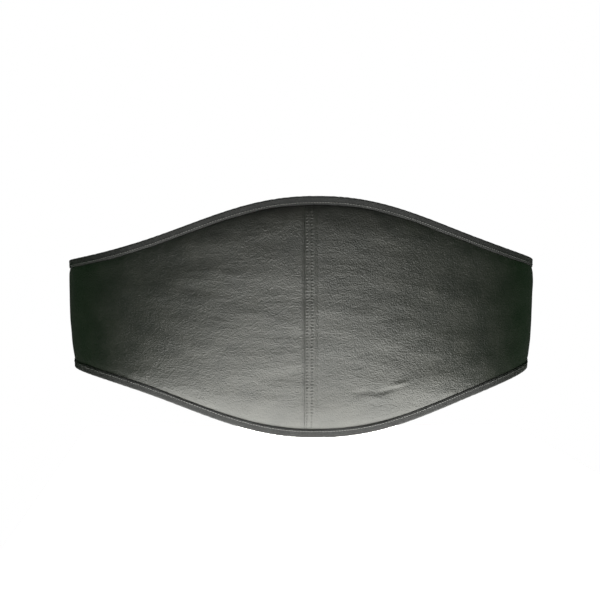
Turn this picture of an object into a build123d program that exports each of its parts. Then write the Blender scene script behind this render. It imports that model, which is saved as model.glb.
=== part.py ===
from build123d import *
import math
import os

# A trainer's belly pad: a curved leather body pad, closed behind the back by a webbing strap
# that is threaded through a steel ring and held on itself with hook and loop.
#
# Millimetres. +Z is up, -Y is the struck front, +X is to the right as the front is seen.
# The origin is on the wearer's waist axis, at the pad's mid height.

# The outer face, seen from above: bends of (radius, degrees) from the front centre to one end.
FRONT_BEND = (460.0, 25.0)
FLANK_BEND = (125.0, 70.0)
REAR_BEND = (105.0, 85.0)
BENDS = (FRONT_BEND, FLANK_BEND, REAR_BEND)
END_LENGTH = 40.0  # the straight, flat end beyond the last bend
WAIST_AXIS = 130.0  # from the front of the outer face back to the wearer's axis
FLANK_LEAN = 0.05  # how far the flanks lean out, for each millimetre of height
LEAN_REACH = 90.0

# The outline of the unrolled pad
END_HALF_HEIGHT = 59.5
FRONT_RISE = 70.5  # how much further the front rises than the ends
RISE_CENTRE = 10.0  # the tallest place, right of the pad's middle
RISE_REACH = 185.0
RISE_POWER = 2.25

# Through the thickness
LEATHER = 1.5
LINING = 1.2
EDGE_THICKNESS = 3.4  # the flat rim, where cover and lining are sewn together
RIM_WIDTH = 9.0
SHOULDER = 30.0  # the rounded stretch between the rim and the full thickness
FLANK_CROWN = 3.0  # how far the flanks bulge forward of the rim
FRONT_CROWN = 11.0  # how much further the front bulges
STRIKE_FOAM = 8.0
COMFORT_FOAM = 5.0
CORE_FOAM = 10.0
CORE_REACH = 215.0
CORE_END = 178.0
SKIVE_START = 390.0  # from here the foam thins towards its ends
SKIVE_END = 500.0
FOAM_END = 450.0
GAP = 0.3  # between layers that lie on each other
SHOULDER_STEPS = (0.1, 0.35, 1.0)
SEAM_PLY_GAP = 0.2

# The centre seam, with the right panel's turned edge lapped over the left panel
SEAM_LINE = -5.2
SEAM_ROWS = (-2.7, 2.7)
SEAM_TAPE_WIDTH = 14.0
SEAM_TAPE_THICKNESS = 0.8
SEAM_TAPE_INSET = 5.0  # the tape and the rows end this far inside the rim
SEAM_ROW_INSET = 0.5
SEAM_HALF = END_HALF_HEIGHT + FRONT_RISE - RIM_WIDTH
SEAM_TAPE_HALF = SEAM_HALF - SEAM_TAPE_INSET
SEAM_ROW_HALF = SEAM_HALF - SEAM_ROW_INSET
THREAD_WIDTH = 0.8
THREAD_THICKNESS = 0.5
THREAD_LIFT = 0.08

# Binding, folded over the rim
BINDING = 0.9
BINDING_GAP = 0.12
BINDING_LEG = 8.6
BINDING_THREAD_INSET = 6.6
BINDING_THREAD_END = 1.0  # the rows stop this far short of the pad's ends
BINDING_THREAD_LIFT = 0.25  # clears the tape between sections, where the two lofts differ a little

# End caps, strap, ring and hook-and-loop
CAP_THICKNESS = 1.2
CAP_LENGTH = 36.0
CAP_CLEARANCE = 0.5
CAP_HALF_HEIGHT = END_HALF_HEIGHT - RIM_WIDTH - CAP_CLEARANCE
SEWN_GAP = 0.15
WEBBING_WIDTH = 75.0
CHAPE_THICKNESS = 1.6
CHAPE_LEAF = 30.0
STRAP_THICKNESS = 2.0
ANCHOR_LENGTH = 34.0
WIRE = 6.0
RING_WINDOW_LENGTH = 20.0
RING_WINDOW_HEIGHT = 79.0
RING_CORNER = 4.5
RING_REACH = 20.0  # from the pad's end to the ring's fixed bar
LOOP_PILE = 2.1
LOOP_LENGTH = 130.0
LOOP_WIDTH = 70.0
HOOK_PILE = 1.9
HOOK_LENGTH = 66.0
HOOK_INSET = 2.0  # from the tail's end
TAIL_RUN = 72.0
TAIL_EASE_BEND = (12.0, 8.0)  # the radius and angle that bring the tail down onto the run
PULL_TAB_LENGTH = 34.0
PULL_TAB_THICKNESS = 1.4
PULL_TAB_HALF_HEIGHT = 24.0
PULL_TAB_OVERHANG = 0.55  # the share of the tab beyond the tail's end
PULL_TAB_CORNER = 9.0
TAB_STITCH_INSET = 2.0
TAB_STITCH_SIDE = 3.0
PATCH_THICKNESS = 1.3
PATCH_OVERLAP = 2.0  # beyond each edge of the webbing
ANCHOR_STITCH_TIP = 3.0  # the box stitching, from the webbing's cut end
ANCHOR_STITCH_ROOT = 4.0  # from the pad's end
ANCHOR_STITCH_SIDE = 4.0
CUT_MARGIN = 1.0  # how far a cutting block passes what it cuts

# Where sections are cut along the pad
STATION_STEPS = (6, 5, 5, 2)  # even steps in each bend, and in the straight end
STATION_MARGIN = 6.0  # no section is cut closer than this to an end


# ---- the pad's shape ----

def outer_line(along):
    """The point and heading of the outer face seen from above, at a distance from its centre."""
    x, y, heading = 0.0, -WAIST_AXIS, 0.0
    left = along
    for radius, degrees in BENDS:
        turn = min(left / radius, math.radians(degrees))
        x += radius * (math.sin(heading + turn) - math.sin(heading))
        y += radius * (math.cos(heading) - math.cos(heading + turn))
        heading += turn
        left -= turn * radius
    return x + left * math.cos(heading), y + left * math.sin(heading), heading


BEND_ENDS = [sum(math.radians(d) * r for r, d in BENDS[: n + 1]) for n in range(len(BENDS))]
HALF_LENGTH = BEND_ENDS[-1] + END_LENGTH
WIDEST = BEND_ENDS[0] + math.radians(90 - FRONT_BEND[1]) * FLANK_BEND[0]


def place(along, depth, z):
    """A point of the pad: along the outer face (right of the centre is positive), in from it, up."""
    x, y, heading = outer_line(abs(along))
    x -= depth * math.sin(heading)
    y += depth * math.cos(heading)
    x += FLANK_LEAN * z * math.exp(-(((abs(along) - WIDEST) / LEAN_REACH) ** 2))
    return Vector(math.copysign(x, along) if along else x, y, z)


def half_height(along):
    share = abs(along - RISE_CENTRE) / RISE_REACH
    return END_HALF_HEIGHT + FRONT_RISE * math.exp(-(share**RISE_POWER))


def core_thickness(along):
    reach = min(abs(along) / CORE_REACH, 1.0)
    return CORE_FOAM * math.cos(reach * math.pi / 2) ** 2


def skive(along):
    """1 where the foam is at its full thickness, falling to 0 towards the ends."""
    share = (abs(along) - SKIVE_START) / (SKIVE_END - SKIVE_START)
    return 0.5 + 0.5 * math.cos(math.pi * min(max(share, 0.0), 1.0))


def foam_thickness(along):
    return core_thickness(along) + (STRIKE_FOAM + COMFORT_FOAM + 3 * GAP) * skive(along)


def pad_thickness(along):
    return EDGE_THICKNESS + foam_thickness(along)


def rim_depth(along):
    """How far the rim lies behind the crown of the front face."""
    return FLANK_CROWN * skive(along) + FRONT_CROWN * core_thickness(along) / CORE_FOAM


def rim_share(step):
    """1 at the rim, falling to 0 where the shoulder ends: a quarter of an ellipse."""
    step = min(max(step, 0.0), 1.0)
    return 1.0 - math.sqrt(1.0 - (1.0 - step) ** 2)


def front_depth(along, below_edge, inward=0.0):
    """The depth of a surface that lies a given distance inside the front face."""
    fall = rim_depth(along) * rim_share((below_edge - inward - RIM_WIDTH) / SHOULDER)
    return inward + fall


def back_depth(along, below_edge, inward=0.0):
    """The depth of a surface that lies a given distance inside the back face."""
    rim = foam_thickness(along) - rim_depth(along)
    fall = rim * rim_share((below_edge - inward - RIM_WIDTH) / SHOULDER)
    return pad_thickness(along) - inward - fall


def foam_depth(along, below_edge, share):
    """The depth of a boundary between foam layers, at a share of the space between the skins."""
    front = front_depth(along, below_edge, LEATHER + GAP)
    back = back_depth(along, below_edge, LINING + GAP)
    return front + share * (back - front)


# ---- lofts along the pad ----

def stations(start, end):
    """Where sections are cut: the ends, and even steps within each bend on both sides."""
    marks = {0.0}
    before = 0.0
    for bend_end, steps in zip(BEND_ENDS + [HALF_LENGTH], STATION_STEPS):
        for n in range(1, steps + 1):
            marks.add(before + (bend_end - before) * n / steps)
        before = bend_end
    marks |= {-mark for mark in marks}
    inside = [mark for mark in sorted(marks) if start + STATION_MARGIN < mark < end - STATION_MARGIN]
    return [start, *inside, end]


def loft_along(start, end, section):
    return Solid.make_loft([section(along) for along in stations(start, end)])


def crown_heights(along, inward, first_step):
    """Heights from bottom to top at which a bulging surface is given points."""
    edge = half_height(along) - RIM_WIDTH - inward
    steps = [step for step in (first_step, *SHOULDER_STEPS) if step >= first_step]
    tops = sorted({edge - SHOULDER * step for step in steps})
    return [-top for top in reversed(tops)] + [0.0] + tops


def skin_edges(along, face, inward):
    """Flat rim, bulge and flat rim of one surface of a skin, from bottom to top."""
    high = half_height(along)

    def at(z):
        return place(along, face(along, high - abs(z), inward), z)

    heights = crown_heights(along, inward, 0.0)
    return [
        Line(at(-high), at(heights[0])),
        Spline([at(z) for z in heights]),
        Line(at(heights[-1]), at(high)),
    ]


def closed_section(one_side, other_side):
    """A closed wire from two runs of edges that both go from bottom to top."""
    joins = [
        Line(one_side[-1] @ 1, other_side[-1] @ 1),
        Line(one_side[0] @ 0, other_side[0] @ 0),
    ]
    return Wire([*one_side, *other_side, *joins])


def skin(start, end, face, thickness):
    """A skin of even thickness that follows the front or the back face, rims included."""
    return loft_along(
        start,
        end,
        lambda along: closed_section(
            skin_edges(along, face, 0.0), skin_edges(along, face, thickness)
        ),
    )


def foam_edge(along, share, lift):
    """One face of a foam layer at a station, moved inward by lift."""
    high = half_height(along)
    heights = crown_heights(along, LEATHER + GAP, SHOULDER_STEPS[0])
    points = [place(along, foam_depth(along, high - abs(z), share) + lift, z) for z in heights]
    return [Spline(points)]


def foam_layer(end, outer_share, inner_share, outer_lift):
    """A foam sheet between two shares of the space between the skins."""
    return loft_along(
        -end,
        end,
        lambda along: closed_section(
            foam_edge(along, outer_share(along), outer_lift),
            foam_edge(along, inner_share(along), 0.0),
        ),
    )


def strike_share(along):
    """The share of the foam's thickness that the strike foam fills."""
    return STRIKE_FOAM / (STRIKE_FOAM + core_thickness(along) + COMFORT_FOAM)


def core_share(along):
    """The share of the foam's thickness down to the back of the core."""
    return 1.0 - COMFORT_FOAM / (STRIKE_FOAM + core_thickness(along) + COMFORT_FOAM)


# ---- flat-sided pieces that stand on edge ----

def ribbon(start, heading, moves, thickness, low, high):
    """A strip standing on edge from low to high: its middle line seen from above is a chain of
    moves, each (length,) for a straight run or (radius, degrees) for a bend, left turns positive."""
    x, y = start
    angle = math.radians(heading)
    edges = []
    for move in moves:
        for side in (0.5, -0.5):
            ends = []
            if len(move) == 1:
                shares = (0.0, 1.0)
            else:
                shares = (0.0, 0.5, 1.0)
            for share in shares:
                px, py, facing = after_move(x, y, angle, move, share)
                away = side * thickness
                ends.append((px - away * math.sin(facing), py + away * math.cos(facing)))
            edges.append(Line(*ends) if len(ends) == 2 else ThreePointArc(*ends))
        x, y, angle = after_move(x, y, angle, move, 1.0)
    left, right = edges[0::2], edges[1::2]
    outline = [
        *left,
        *right,
        Line(left[0] @ 0, right[0] @ 0),
        Line(left[-1] @ 1, right[-1] @ 1),
    ]
    face = make_face(outline).moved(Location((0, 0, low)))
    return extrude(face, amount=high - low, dir=(0, 0, 1))


def after_move(x, y, angle, move, share):
    """Where a share of one move of a ribbon leads from a point and heading."""
    if len(move) == 1:
        length = share * move[0]
        return x + length * math.cos(angle), y + length * math.sin(angle), angle
    radius, degrees = move
    turn = math.radians(degrees) * share
    curve = math.copysign(radius, degrees)
    return (
        x + curve * (math.sin(angle + turn) - math.sin(angle)),
        y + curve * (math.cos(angle) - math.cos(angle + turn)),
        angle + turn,
    )


def slab(x_range, y_range, z_half):
    """A block centred on z = 0."""
    wide, deep = x_range[1] - x_range[0], y_range[1] - y_range[0]
    middle = Location(((x_range[0] + x_range[1]) / 2, (y_range[0] + y_range[1]) / 2, 0))
    return middle * Box(wide, deep, 2 * z_half)


def box_stitch(x_range, z_half, y, outward):
    """Stitching in a box with a cross, lying on a flat face whose height along Y is y."""
    wide = x_range[1] - x_range[0]
    middle = (x_range[0] + x_range[1]) / 2
    plane = Plane(origin=(middle, y + outward * THREAD_LIFT, 0), x_dir=(1, 0, 0), z_dir=(0, outward, 0))
    frame = Rectangle(wide, 2 * z_half)
    frame -= Rectangle(wide - 2 * THREAD_WIDTH, 2 * (z_half - THREAD_WIDTH))
    slope = math.degrees(math.atan2(2 * z_half, wide))
    across = math.hypot(wide, 2 * z_half) - 2 * THREAD_WIDTH
    for angle in (slope, -slope):
        frame += Rot(0, 0, angle) * Rectangle(across, THREAD_WIDTH)
    return extrude(plane * frame, amount=THREAD_THICKNESS)


# ---- the pad ----

def centre_strip(x_range, z_half, outer_inward, inner_inward):
    """A strip up the centre seam between two surfaces inside the front face."""
    lines = [skin_edges(0.0, front_depth, inward) for inward in (outer_inward, inner_inward)]
    face = Face(closed_section(*lines)).moved(Location((x_range[0], 0, 0)))
    whole = extrude(face, amount=x_range[1] - x_range[0], dir=(1, 0, 0))
    kept = slab((x_range[0] - CUT_MARGIN, x_range[1] + CUT_MARGIN), (-2 * WAIST_AXIS, 0), z_half)
    return (whole & kept).solids()[0]


def make_covers():
    return {
        "outer_cover_left": skin(-HALF_LENGTH, SEAM_LINE - SEAM_PLY_GAP, front_depth, LEATHER),
        "outer_cover_right": skin(SEAM_LINE, HALF_LENGTH, front_depth, LEATHER),
        "inner_lining": skin(-HALF_LENGTH, HALF_LENGTH, back_depth, LINING),
    }


def make_centre_seam():
    half = SEAM_TAPE_WIDTH / 2
    rows = [
        centre_strip(
            (row - THREAD_WIDTH / 2, row + THREAD_WIDTH / 2),
            SEAM_ROW_HALF,
            -THREAD_LIFT - THREAD_THICKNESS,
            -THREAD_LIFT,
        )
        for row in SEAM_ROWS
    ]
    tape_front = LEATHER + GAP
    tape_back = tape_front + SEAM_TAPE_THICKNESS
    return {
        "seam_tape": centre_strip((-half, half), SEAM_TAPE_HALF, tape_front, tape_back),
        "centre_seam_threads": Compound(rows),
    }


def make_foams():
    strike = foam_layer(FOAM_END, lambda along: 0.0, strike_share, 0.0)
    half = SEAM_TAPE_WIDTH / 2 + GAP
    channel_back = LEATHER + SEAM_TAPE_THICKNESS + 2 * GAP
    channel = centre_strip((-half, half), SEAM_TAPE_HALF + GAP, LEATHER, channel_back)
    return {
        "strike_foam": strike - channel,
        "core_foam": foam_layer(CORE_END, strike_share, core_share, GAP),
        "comfort_foam": foam_layer(FOAM_END, core_share, lambda along: 1.0, GAP),
    }


def binding_section(along, side):
    """A U round the rim at the top (side 1) or the bottom (side -1) edge."""
    front = front_depth(along, 0.0) - BINDING_GAP
    back = back_depth(along, 0.0) + BINDING_GAP
    rim = half_height(along) + BINDING_GAP
    foot = rim - BINDING_LEG
    corners = (
        (front, foot),
        (front, rim),
        (back, rim),
        (back, foot),
        (back + BINDING, foot),
        (back + BINDING, rim + BINDING),
        (front - BINDING, rim + BINDING),
        (front - BINDING, foot),
    )
    return Polyline(*[place(along, depth, side * z) for depth, z in corners], close=True)


def binding_thread_section(along, side, face_depth, outward):
    """A flat thread on one leg of the binding."""
    z = half_height(along) - BINDING_THREAD_INSET
    near = face_depth(along, 0.0) + outward * (BINDING_GAP + BINDING + BINDING_THREAD_LIFT)
    far = near + outward * THREAD_THICKNESS
    corners = ((near, z), (near, z + THREAD_WIDTH), (far, z + THREAD_WIDTH), (far, z))
    return Polyline(*[place(along, depth, side * height) for depth, height in corners], close=True)


def binding_thread(side, face_depth, outward):
    """One row of thread along the binding. So small a section turns inside out where the pad has
    turned a quarter, so each quarter is lofted by itself and the four are joined."""
    end = HALF_LENGTH - BINDING_THREAD_END
    cuts = (-end, -WIDEST, 0.0, WIDEST, end)
    quarters = [
        loft_along(
            start,
            stop,
            lambda along: Wire(binding_thread_section(along, side, face_depth, outward).edges()),
        )
        for start, stop in zip(cuts, cuts[1:])
    ]
    return quarters[0].fuse(*quarters[1:])


def make_bindings():
    nodes = {}
    for name, side in (("top", 1), ("bottom", -1)):
        nodes[f"{name}_binding"] = loft_along(
            -HALF_LENGTH, HALF_LENGTH, lambda along: Wire(binding_section(along, side).edges())
        )
        threads = [
            binding_thread(side, face_depth, outward)
            for face_depth, outward in ((front_depth, -1), (back_depth, 1))
        ]
        nodes[f"{name}_binding_threads"] = Compound(threads)
    return nodes


# ---- the ends and the closure ----

END_X, END_Y, _ = outer_line(HALF_LENGTH)
CLOSURE_Y = END_Y - EDGE_THICKNESS / 2  # the middle plane of the pad's ends, ring and strap
CAP_OFFSET = EDGE_THICKNESS / 2 + SEWN_GAP + CAP_THICKNESS / 2
CAP_FACE = CAP_OFFSET + CAP_THICKNESS / 2
CHAPE_OFFSET = CAP_FACE + SEWN_GAP + CHAPE_THICKNESS / 2
CHAPE_FACE = CHAPE_OFFSET + CHAPE_THICKNESS / 2
FIXED_BAR_X = END_X - RING_REACH
FREE_BAR_X = FIXED_BAR_X - RING_WINDOW_LENGTH - WIRE
STRAP_OFFSET = WIRE / 2 + GAP + STRAP_THICKNESS / 2
WEBBING_HALF = WEBBING_WIDTH / 2


def make_end_cap(side):
    """Leather folded round a pad end, between the bindings."""
    moves = [(CAP_LENGTH,), (CAP_OFFSET, 180.0), (CAP_LENGTH,)]
    cap = ribbon(
        (END_X + CAP_LENGTH, CLOSURE_Y + CAP_OFFSET),
        180.0,
        moves,
        CAP_THICKNESS,
        -CAP_HALF_HEIGHT,
        CAP_HALF_HEIGHT,
    )
    return cap if side > 0 else mirror(cap, about=Plane.YZ)


def make_ring_chape():
    """Webbing folded round the ring's fixed bar, one leaf on each face of the right end."""
    run = CHAPE_LEAF + RING_REACH
    return ribbon(
        (END_X + CHAPE_LEAF, CLOSURE_Y + CHAPE_OFFSET),
        180.0,
        [(run,), (CHAPE_OFFSET, 180.0), (run,)],
        CHAPE_THICKNESS,
        -WEBBING_HALF,
        WEBBING_HALF,
    )


def make_ring():
    """A rectangle of round wire standing in the closure's plane."""
    plane = Plane(
        origin=((FIXED_BAR_X + FREE_BAR_X) / 2, CLOSURE_Y, 0), x_dir=(1, 0, 0), z_dir=(0, -1, 0)
    )
    outline = RectangleRounded(
        RING_WINDOW_LENGTH + WIRE, RING_WINDOW_HEIGHT + WIRE, RING_CORNER
    )
    path = (plane * outline).face().outer_wire()
    start = path.edges().sort_by(Axis.X)[0]
    section = Plane(origin=start @ 0.5, z_dir=start % 0.5) * Circle(WIRE / 2)
    return sweep(section, path)


def make_strap():
    """The strap's run across the back, its fold round the ring, and the tail with the hooks."""
    inner_y, outer_y = CLOSURE_Y - STRAP_OFFSET, CLOSURE_Y + STRAP_OFFSET
    run_start = -END_X - ANCHOR_LENGTH
    run = slab(
        (run_start, FREE_BAR_X - GAP),
        (inner_y - STRAP_THICKNESS / 2, inner_y + STRAP_THICKNESS / 2),
        WEBBING_HALF,
    )
    fold = ribbon(
        (FREE_BAR_X, inner_y), 0.0, [(STRAP_OFFSET, 180.0)], STRAP_THICKNESS,
        -WEBBING_HALF, WEBBING_HALF,
    )
    radius, degrees = TAIL_EASE_BEND
    ease = radius * (1 - math.cos(math.radians(degrees)))
    tail_y = inner_y + STRAP_THICKNESS + LOOP_PILE + HOOK_PILE + GAP + 2 * THREAD_LIFT
    slope_length = (outer_y - tail_y - 2 * ease) / math.sin(math.radians(degrees))
    moves = [(radius, degrees), (slope_length,), (radius, -degrees), (TAIL_RUN,)]
    tail = ribbon(
        (FREE_BAR_X - GAP, outer_y), 180.0, moves, STRAP_THICKNESS, -WEBBING_HALF, WEBBING_HALF
    )
    tail_end = FREE_BAR_X - GAP - TAIL_RUN
    tail_end -= 2 * radius * math.sin(math.radians(degrees))
    tail_end -= slope_length * math.cos(math.radians(degrees))
    loop_face = inner_y + STRAP_THICKNESS / 2 + THREAD_LIFT
    loop_end = tail_end + TAIL_RUN
    hook_face = tail_y - STRAP_THICKNESS / 2 - THREAD_LIFT
    tab_face = tail_y + STRAP_THICKNESS / 2 + SEWN_GAP
    tab_overhang = PULL_TAB_LENGTH * PULL_TAB_OVERHANG
    tab_sewn = PULL_TAB_LENGTH - tab_overhang
    tab = slab(
        (tail_end - tab_overhang, tail_end + tab_sewn),
        (tab_face, tab_face + PULL_TAB_THICKNESS),
        PULL_TAB_HALF_HEIGHT,
    )
    tab = fillet(tab.edges().filter_by(Axis.Y).group_by(Axis.X)[0], PULL_TAB_CORNER)
    hook_range = (tail_end + HOOK_INSET, tail_end + HOOK_INSET + HOOK_LENGTH)
    loop_range = (loop_end - LOOP_LENGTH, loop_end)
    return {
        "strap_run": run,
        "strap_fold": fold,
        "strap_tail": tail,
        "loop_strip": slab(loop_range, (loop_face, loop_face + LOOP_PILE), LOOP_WIDTH / 2),
        "hook_strip": slab(hook_range, (hook_face - HOOK_PILE, hook_face), LOOP_WIDTH / 2),
        "pull_tab": tab,
        "pull_tab_threads": box_stitch(
            (tail_end + TAB_STITCH_INSET, tail_end + tab_sewn - TAB_STITCH_INSET),
            PULL_TAB_HALF_HEIGHT - TAB_STITCH_SIDE,
            tab_face + PULL_TAB_THICKNESS,
            1,
        ),
    }


def make_anchors():
    """The leather patch on the left end's outer face and the stitching at both ends."""
    patch_face = CLOSURE_Y + CAP_FACE + SEWN_GAP
    patch = slab(
        (-END_X - ANCHOR_LENGTH, -END_X),
        (patch_face, patch_face + PATCH_THICKNESS),
        WEBBING_HALF + PATCH_OVERLAP,
    )
    inner_face = CLOSURE_Y - STRAP_OFFSET - STRAP_THICKNESS / 2
    left = (-END_X - ANCHOR_LENGTH + ANCHOR_STITCH_TIP, -END_X - ANCHOR_STITCH_ROOT)
    right = (END_X + ANCHOR_STITCH_ROOT, END_X + CHAPE_LEAF - ANCHOR_STITCH_TIP)
    z_half = WEBBING_HALF - ANCHOR_STITCH_SIDE
    return {
        "anchor_patch": patch,
        "anchor_threads": Compound([
            *box_stitch(left, z_half, patch_face + PATCH_THICKNESS, 1).solids(),
            *box_stitch(left, z_half, inner_face, -1).solids(),
        ]),
        "ring_chape_threads": Compound([
            *box_stitch(right, z_half, CLOSURE_Y + CHAPE_FACE, 1).solids(),
            *box_stitch(right, z_half, CLOSURE_Y - CHAPE_FACE, -1).solids(),
        ]),
    }


def main():
    nodes = {
        **make_covers(),
        **make_centre_seam(),
        **make_foams(),
        **make_bindings(),
        "left_end_cap": make_end_cap(-1),
        "right_end_cap": make_end_cap(1),
        "ring_chape": make_ring_chape(),
        "ring": make_ring(),
        **make_strap(),
        **make_anchors(),
    }
    os.makedirs("parts", exist_ok=True)
    for name, piece in nodes.items():
        export_step(piece, f"parts/{name}.step")
    print(f"pad length {2 * HALF_LENGTH:.1f}, ends at x {END_X:.2f}, closure plane y {CLOSURE_Y:.2f}")
    print(f"fixed bar x {FIXED_BAR_X:.2f}, free bar x {FREE_BAR_X:.2f}, strap offset {STRAP_OFFSET:.2f}")


main()
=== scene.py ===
import math

import bmesh
import bpy
import numpy as np
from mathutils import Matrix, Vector


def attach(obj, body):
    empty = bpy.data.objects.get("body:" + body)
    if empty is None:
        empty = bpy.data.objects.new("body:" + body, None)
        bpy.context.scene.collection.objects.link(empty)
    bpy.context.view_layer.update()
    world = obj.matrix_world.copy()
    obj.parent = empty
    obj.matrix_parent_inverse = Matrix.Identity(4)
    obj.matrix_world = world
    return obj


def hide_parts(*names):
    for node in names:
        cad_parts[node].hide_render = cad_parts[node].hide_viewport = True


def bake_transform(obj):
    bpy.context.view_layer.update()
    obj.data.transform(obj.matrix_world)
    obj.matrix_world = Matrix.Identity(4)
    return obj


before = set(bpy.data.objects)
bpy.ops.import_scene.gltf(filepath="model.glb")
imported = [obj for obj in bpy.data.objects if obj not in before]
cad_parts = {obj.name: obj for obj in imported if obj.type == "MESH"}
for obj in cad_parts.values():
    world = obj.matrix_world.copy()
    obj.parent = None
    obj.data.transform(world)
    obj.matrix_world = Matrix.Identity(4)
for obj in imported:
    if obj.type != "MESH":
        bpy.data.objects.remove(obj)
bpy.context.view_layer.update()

MM = 0.001

# ---- the pad's driving dimensions, in millimetres ----

BENDS = ((460.0, 25.0), (125.0, 70.0), (105.0, 85.0))  # radius and degrees, from the front centre
END_LENGTH = 40.0
WAIST_AXIS = 130.0
FLANK_LEAN = 0.05
LEAN_REACH = 90.0
END_HALF_HEIGHT = 59.5
FRONT_RISE = 70.5
RISE_CENTRE = 10.0
RISE_REACH = 185.0
RISE_POWER = 2.25
LEATHER = 1.5
LINING = 1.2
EDGE_THICKNESS = 3.4
RIM_WIDTH = 9.0
SHOULDER = 30.0
FLANK_CROWN = 3.0
FRONT_CROWN = 11.0
CORE_FOAM = 10.0
CORE_REACH = 215.0
STRIKE_FOAM = 8.0
COMFORT_FOAM = 5.0
GAP = 0.3  # between layers that lie on each other
FLANK_FOAM = STRIKE_FOAM + COMFORT_FOAM + 3 * GAP
FOAM_END = 448.0
CORE_END = 176.0
SKIVE_START = 390.0
SKIVE_END = 500.0
SEAM_LINE = -5.2
SEAM_ROWS = (-2.7, 2.7)
SEAM_TUCK = 0.9  # how far the left panel runs under the lap
STITCH_PITCH = 3.4
BINDING = 0.9
BINDING_GAP = 0.12
BINDING_LEG = 8.8
BINDING_ROW = 6.4  # the binding's stitches, from the edge
BINDING_PITCH = 3.1
BINDING_FIRST = 1.5  # from the end of the binding to its first stitch
STITCH_LIFT = 0.12  # how far a stitch's middle stands off the face that it is sewn to

BEND_ENDS = np.cumsum([math.radians(degrees) * radius for radius, degrees in BENDS])
HALF_LENGTH = BEND_ENDS[-1] + END_LENGTH
WIDEST = BEND_ENDS[0] + math.radians(90 - BENDS[0][1]) * BENDS[1][0]


# ---- pad coordinates: along the front face, in from it, and up, in millimetres ----

def outer_line(along):
    """x, y and heading of the front face seen from above, for distances from its centre."""
    x, y = np.zeros_like(along), np.full_like(along, -WAIST_AXIS)
    heading, left = np.zeros_like(along), np.array(along)
    for radius, degrees in BENDS:
        turn = np.clip(left / radius, 0, math.radians(degrees))
        x += radius * (np.sin(heading + turn) - np.sin(heading))
        y += radius * (np.cos(heading) - np.cos(heading + turn))
        heading += turn
        left -= turn * radius
    left = np.maximum(left, 0)
    return x + left * np.cos(heading), y + left * np.sin(heading), heading


def place(along, depth, z):
    """Points in metres, in the row frame, from pad coordinates in millimetres."""
    along, depth, z = np.broadcast_arrays(*[np.asarray(v, float) for v in (along, depth, z)])
    x, y, heading = outer_line(np.abs(along))
    x = x - depth * np.sin(heading)
    y = y + depth * np.cos(heading)
    x = x + FLANK_LEAN * z * np.exp(-(((np.abs(along) - WIDEST) / LEAN_REACH) ** 2))
    return np.stack([np.where(along < 0, -x, x), y, z], axis=-1) * MM


def half_height(along):
    share = np.abs(along - RISE_CENTRE) / RISE_REACH
    return END_HALF_HEIGHT + FRONT_RISE * np.exp(-(share**RISE_POWER))


def core_thickness(along):
    reach = np.minimum(np.abs(along) / CORE_REACH, 1.0)
    return CORE_FOAM * np.cos(reach * math.pi / 2) ** 2


def skive(along):
    share = np.clip((np.abs(along) - SKIVE_START) / (SKIVE_END - SKIVE_START), 0, 1)
    return 0.5 + 0.5 * np.cos(math.pi * share)


def foam_thickness(along):
    return core_thickness(along) + FLANK_FOAM * skive(along)


def rim_depth(along):
    return FLANK_CROWN * skive(along) + FRONT_CROWN * core_thickness(along) / CORE_FOAM


def rim_share(step):
    step = np.clip(step, 0, 1)
    return 1 - np.sqrt(1 - (1 - step) ** 2)


def crown_share(along, z, inward):
    """How far a padded face has fallen from its crown: 0 in the middle, 1 at the rim."""
    high = half_height(along)
    below_edge = high - np.abs(z)
    shoulder = rim_share((below_edge - inward - RIM_WIDTH) / SHOULDER)
    arch = np.minimum(np.abs(z) / (high - RIM_WIDTH), 1) ** 2
    return np.where(below_edge <= RIM_WIDTH + inward, 1.0, 0.5 * shoulder + 0.5 * arch)


def front_depth(along, z, inward=0.0):
    return inward + rim_depth(along) * crown_share(along, z, inward)


def back_depth(along, z, inward=0.0):
    rim = foam_thickness(along) - rim_depth(along)
    thickness = EDGE_THICKNESS + foam_thickness(along)
    return thickness - inward - rim * crown_share(along, z, inward)


# ---- smooth, repeatable unevenness ----

def waves(seed, u, v, length_u, length_v, count=7):
    """A smooth uneven field of height about 1: a few sine waves of chosen lengths."""
    rng = np.random.default_rng(seed)
    total = np.zeros(np.broadcast(u, v).shape)
    for _ in range(count):
        ku, kv = rng.uniform(0.5, 1.5, 2) * rng.choice([-1, 1], 2)
        phase = rng.uniform(0, 2 * math.pi)
        total = total + np.sin(2 * math.pi * (u * ku / length_u + v * kv / length_v) + phase)
    return total / math.sqrt(count / 2) / 1.6


def bump_at(u, v, centre, size, angle=0.0):
    """A round-topped bump of height 1 at a place, stretched and turned."""
    c, s = math.cos(math.radians(angle)), math.sin(math.radians(angle))
    du, dv = u - centre[0], v - centre[1]
    a, b = (du * c + dv * s) / size[0], (dv * c - du * s) / size[1]
    return np.exp(-(a**2) - b**2)


# ---- meshes ----

def mesh_object(name, points, faces, uvs=None):
    """A smooth-shaded object from points in metres. uvs gives each point a place in metres."""
    mesh = bpy.data.meshes.new(name)
    mesh.from_pydata(np.asarray(points, float).reshape(-1, 3).tolist(), [], np.asarray(faces).tolist())
    mesh.polygons.foreach_set("use_smooth", np.ones(len(mesh.polygons), bool))
    if uvs is not None:
        corner = np.zeros(len(mesh.loops), np.int32)
        mesh.loops.foreach_get("vertex_index", corner)
        layer = mesh.uv_layers.new(name="flat")
        layer.data.foreach_set("uv", np.asarray(uvs, np.float32).reshape(-1, 2)[corner].ravel())
    mesh.update()
    thing = bpy.data.objects.new(name, mesh)
    bpy.context.scene.collection.objects.link(thing)
    return thing


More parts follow.
